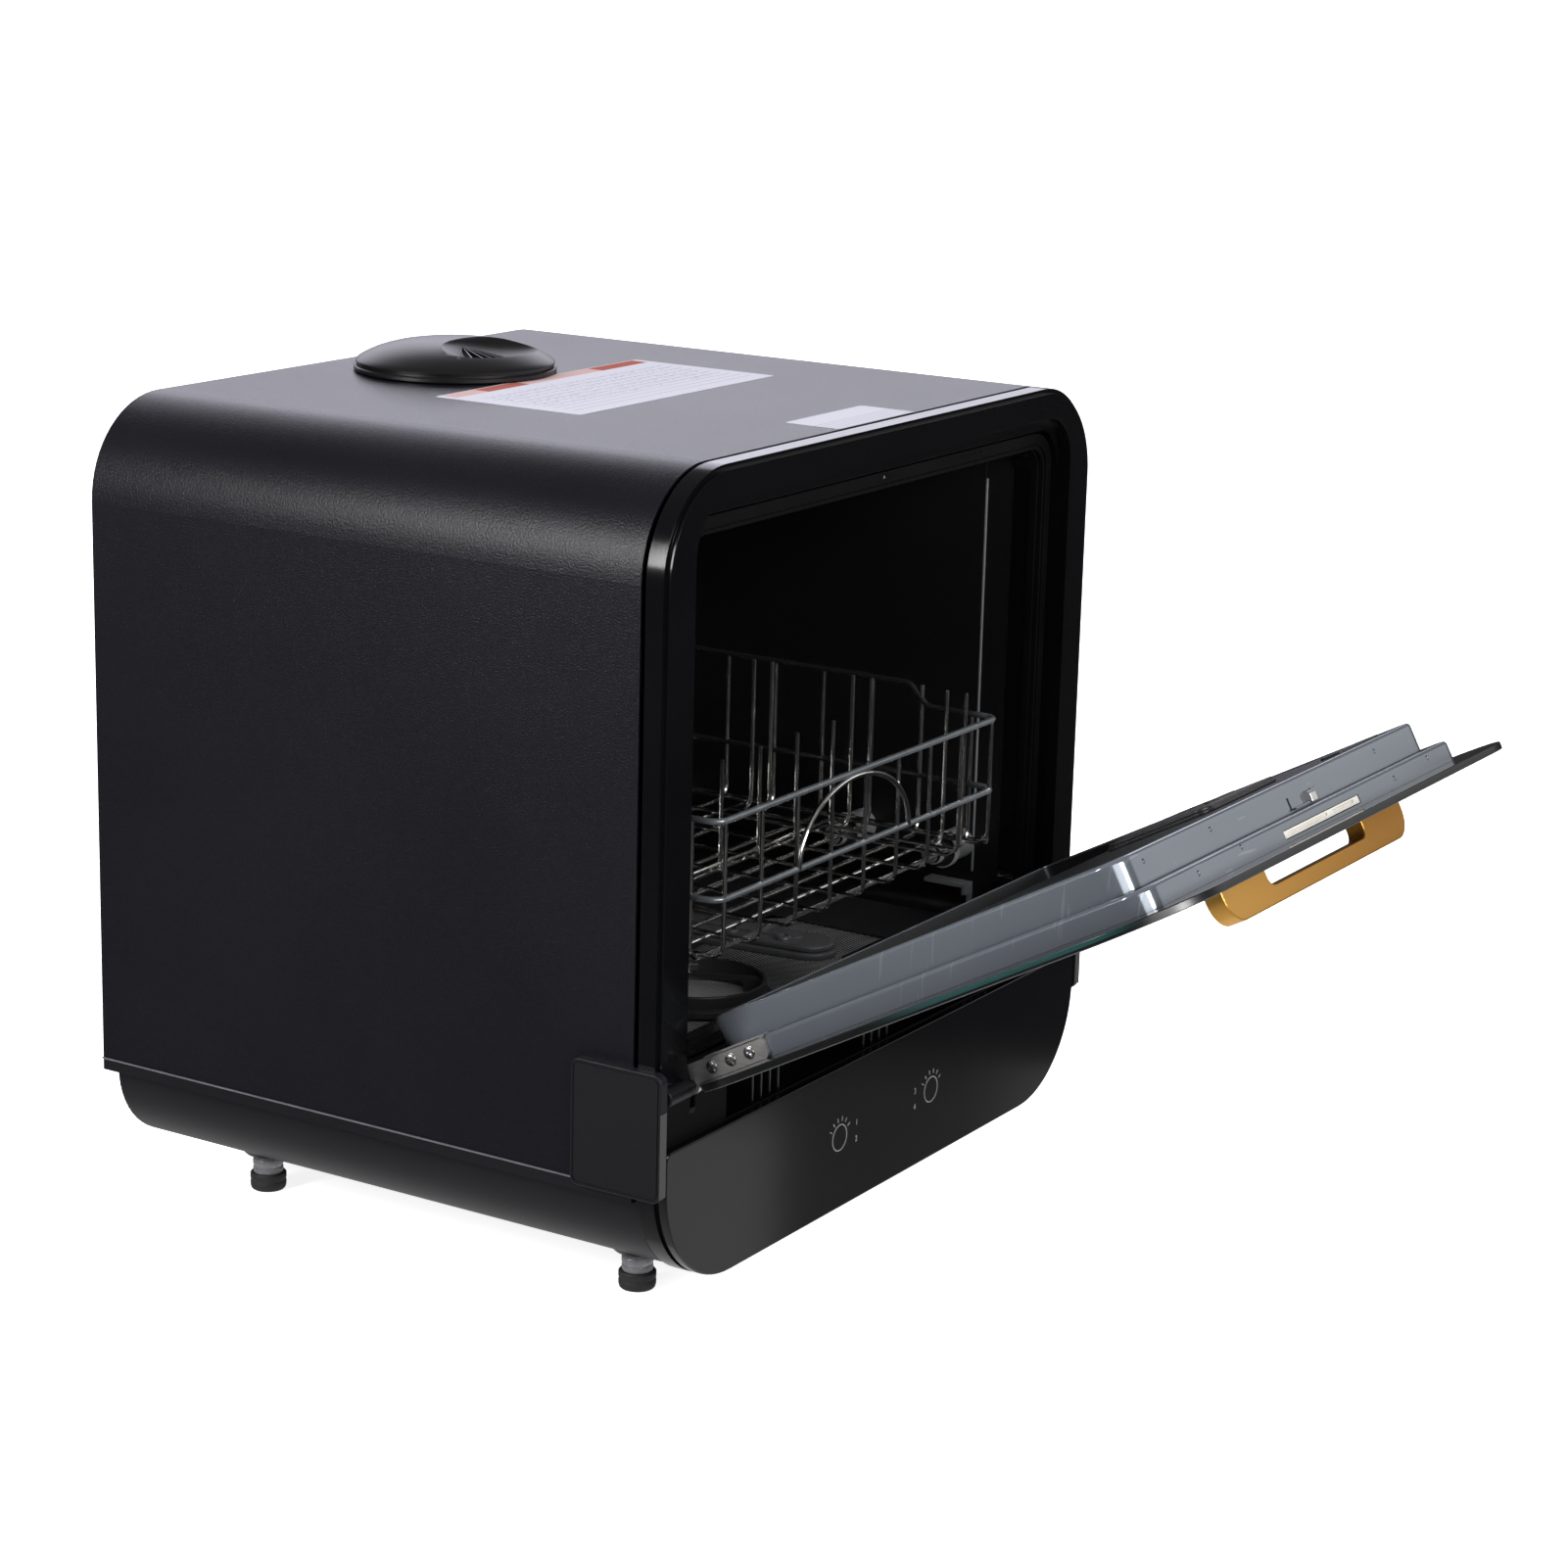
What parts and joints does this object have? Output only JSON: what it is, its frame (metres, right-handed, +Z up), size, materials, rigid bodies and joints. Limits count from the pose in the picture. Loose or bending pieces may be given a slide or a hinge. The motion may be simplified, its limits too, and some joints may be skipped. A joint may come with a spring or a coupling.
{
  "type": "countertop dishwasher",
  "caption": "Compact benchtop dishwasher with a drop-down glass door, bar handle, wire basket on rollers, spray arm and a water tank filled through a capped opening in its top.",
  "frame": {"origin": "middle of the whole object's footprint at table level, with the door standing open as built", "axes": "+X to the right seen from the front, +Y from the front to the rear, +Z up"},
  "size_m": [0.432, 0.641, 0.4452],
  "materials": {
    "cabinet_steel": "fine grained matte black powder coat",
    "rear_steel": "matte black powder coat",
    "base_plastic": "matt moulded black",
    "bezel_plastic": "semi-gloss moulded black",
    "panel_gloss": "gloss black with faint sheen",
    "panel_print": "light grey print",
    "circuit_board": "green board with components",
    "bare_steel": "stainless steel",
    "tub_plastic": "moulded dark grey",
    "seal_rubber": "soft black rubber",
    "mesh_steel": "fine stainless mesh",
    "pump_plastic": "dark moulded",
    "white_plastic": "white moulded",
    "heater_steel": "drawn steel tube",
    "tank_plastic": "milky blow moulded",
    "label_film": "white film label, bare",
    "door_glass": "toughened glass, black print behind",
    "door_steel": "satin bluish grey stainless steel",
    "panel_liner": "gloss black moulded",
    "insulation_felt": "pressed felt",
    "handle_gold": "satin gold anodised",
    "latch_plastic": "off-white moulded",
    "soap_plastic": "dark moulded",
    "filter_plastic": "dark moulded with mesh windows",
    "arm_plastic": "dark grey moulded",
    "cap_plastic": "semi-gloss moulded black",
    "basket_wire": "bright grey coated wire",
    "roller_plastic": "grey acetal",
    "foot_rubber": "black rubber"
  },
  "bodies": {
    "cabinet": {"cabinet_shell": "cabinet_steel", "rear_panel": "rear_steel", "base_pan": "base_plastic", "front_bezel": "bezel_plastic", "control_panel": "panel_gloss", "panel_marks": "panel_print", "control_board": "circuit_board", "hinge_cover_left": "base_plastic", "hinge_cover_right": "base_plastic", "hinge_pins": "bare_steel", "tub": "tub_plastic", "tub_gasket": "seal_rubber", "sump": "tub_plastic", "filter_plate": "mesh_steel", "spray_hub": "tub_plastic", "roller_mounts": "tub_plastic", "wash_pump": "pump_plastic", "drain_pump": "white_plastic", "heater": "heater_steel", "inlet_valve": "white_plastic", "water_tank": "tank_plastic", "fill_duct": "base_plastic", "drain_spout": "base_plastic", "cord_gland": "base_plastic", "foot_stems": "bare_steel", "foot_pads": "foot_rubber", "top_label_large": "label_film", "top_label_small": "label_film"},
    "door": {"door_glass": "door_glass", "door_frame": "door_steel", "door_liner": "door_steel", "door_inner_panel": "panel_liner", "door_insulation": "insulation_felt", "door_handle": "handle_gold", "handle_screws": "bare_steel", "hinge_arm_left": "bare_steel", "hinge_arm_right": "bare_steel", "hinge_screws": "bare_steel", "latch_housing": "latch_plastic", "detergent_cup": "soap_plastic"},
    "latch": {"latch_tongue": "bare_steel"},
    "soap_lid": {"detergent_lid": "soap_plastic"},
    "filter": {"filter_cup": "filter_plastic"},
    "spray": {"spray_arm": "arm_plastic"},
    "cap": {"fill_cap": "cap_plastic"},
    "basket": {"basket_front": "basket_wire", "basket_rear": "basket_wire", "basket_left": "basket_wire", "basket_right": "basket_wire", "basket_base": "basket_wire", "tines_short": "basket_wire", "tines_right": "basket_wire", "tines_rear": "basket_wire"},
    "roller_left_front": {"roller_left_front": "roller_plastic"},
    "roller_left_middle": {"roller_left_middle": "roller_plastic"},
    "roller_left_rear": {"roller_left_rear": "roller_plastic"},
    "roller_right_front": {"roller_right_front": "roller_plastic"},
    "roller_right_middle": {"roller_right_middle": "roller_plastic"},
    "roller_right_rear": {"roller_right_rear": "roller_plastic"}
  },
  "joints": [
    {"name": "door_hinge", "type": "hinge", "parent": "cabinet", "child": "door", "pos_m": [0, -0.05354, 0.1265], "axis": [1, 0, 0], "range_deg": [-61.4, 28.6]},
    {"name": "latch_slide", "type": "slide", "parent": "door", "child": "latch", "axis": [0, 0.878, -0.4787], "range_m": [0, 0.0025], "stiffness_N_per_m": 600, "springref_m": -0.001},
    {"name": "soap_lid_hinge", "type": "hinge", "parent": "door", "child": "soap_lid", "pos_m": [0.03, -0.18474, 0.23055], "axis": [-1, 0, 0], "range_deg": [0, 100]},
    {"name": "filter_turn", "type": "hinge", "parent": "cabinet", "child": "filter", "pos_m": [-0.042, 0.03446, 0.118], "axis": [0, 0, 1], "range_deg": [0, 60]},
    {"name": "spray_turn", "type": "hinge", "parent": "cabinet", "child": "spray", "pos_m": [0, 0.11146, 0.14], "axis": [0, 0, 1], "continuous": true},
    {"name": "cap_lift", "type": "slide", "parent": "cabinet", "child": "cap", "axis": [0, 0, 1], "range_m": [0, 0.06]},
    {"name": "basket_slide", "type": "slide", "parent": "cabinet", "child": "basket", "axis": [0, -1, 0], "range_m": [0, 0.07]},
    {"name": "roller_left_front_roll", "type": "hinge", "parent": "cabinet", "child": "roller_left_front", "pos_m": [-0.15, 0.00046, 0.1622], "axis": [1, 0, 0], "range_deg": [-10, 560]},
    {"name": "roller_left_middle_roll", "type": "hinge", "parent": "cabinet", "child": "roller_left_middle", "pos_m": [-0.15, 0.06446, 0.1622], "axis": [1, 0, 0], "range_deg": [-10, 560]},
    {"name": "roller_left_rear_roll", "type": "hinge", "parent": "cabinet", "child": "roller_left_rear", "pos_m": [-0.15, 0.19246, 0.1622], "axis": [1, 0, 0], "range_deg": [-10, 560]},
    {"name": "roller_right_front_roll", "type": "hinge", "parent": "cabinet", "child": "roller_right_front", "pos_m": [0.15, 0.00046, 0.1622], "axis": [1, 0, 0], "range_deg": [-10, 560]},
    {"name": "roller_right_middle_roll", "type": "hinge", "parent": "cabinet", "child": "roller_right_middle", "pos_m": [0.15, 0.06446, 0.1622], "axis": [1, 0, 0], "range_deg": [-10, 560]},
    {"name": "roller_right_rear_roll", "type": "hinge", "parent": "cabinet", "child": "roller_right_rear", "pos_m": [0.15, 0.19246, 0.1622], "axis": [1, 0, 0], "range_deg": [-10, 560]}
  ],
  "couplings": [
    {"joint": "roller_left_front_roll", "follows": "basket_slide", "rad_per_m": 133.33},
    {"joint": "roller_left_middle_roll", "follows": "basket_slide", "rad_per_m": 133.33},
    {"joint": "roller_left_rear_roll", "follows": "basket_slide", "rad_per_m": 133.33},
    {"joint": "roller_right_front_roll", "follows": "basket_slide", "rad_per_m": 133.33},
    {"joint": "roller_right_middle_roll", "follows": "basket_slide", "rad_per_m": 133.33},
    {"joint": "roller_right_rear_roll", "follows": "basket_slide", "rad_per_m": 133.33}
  ]
}
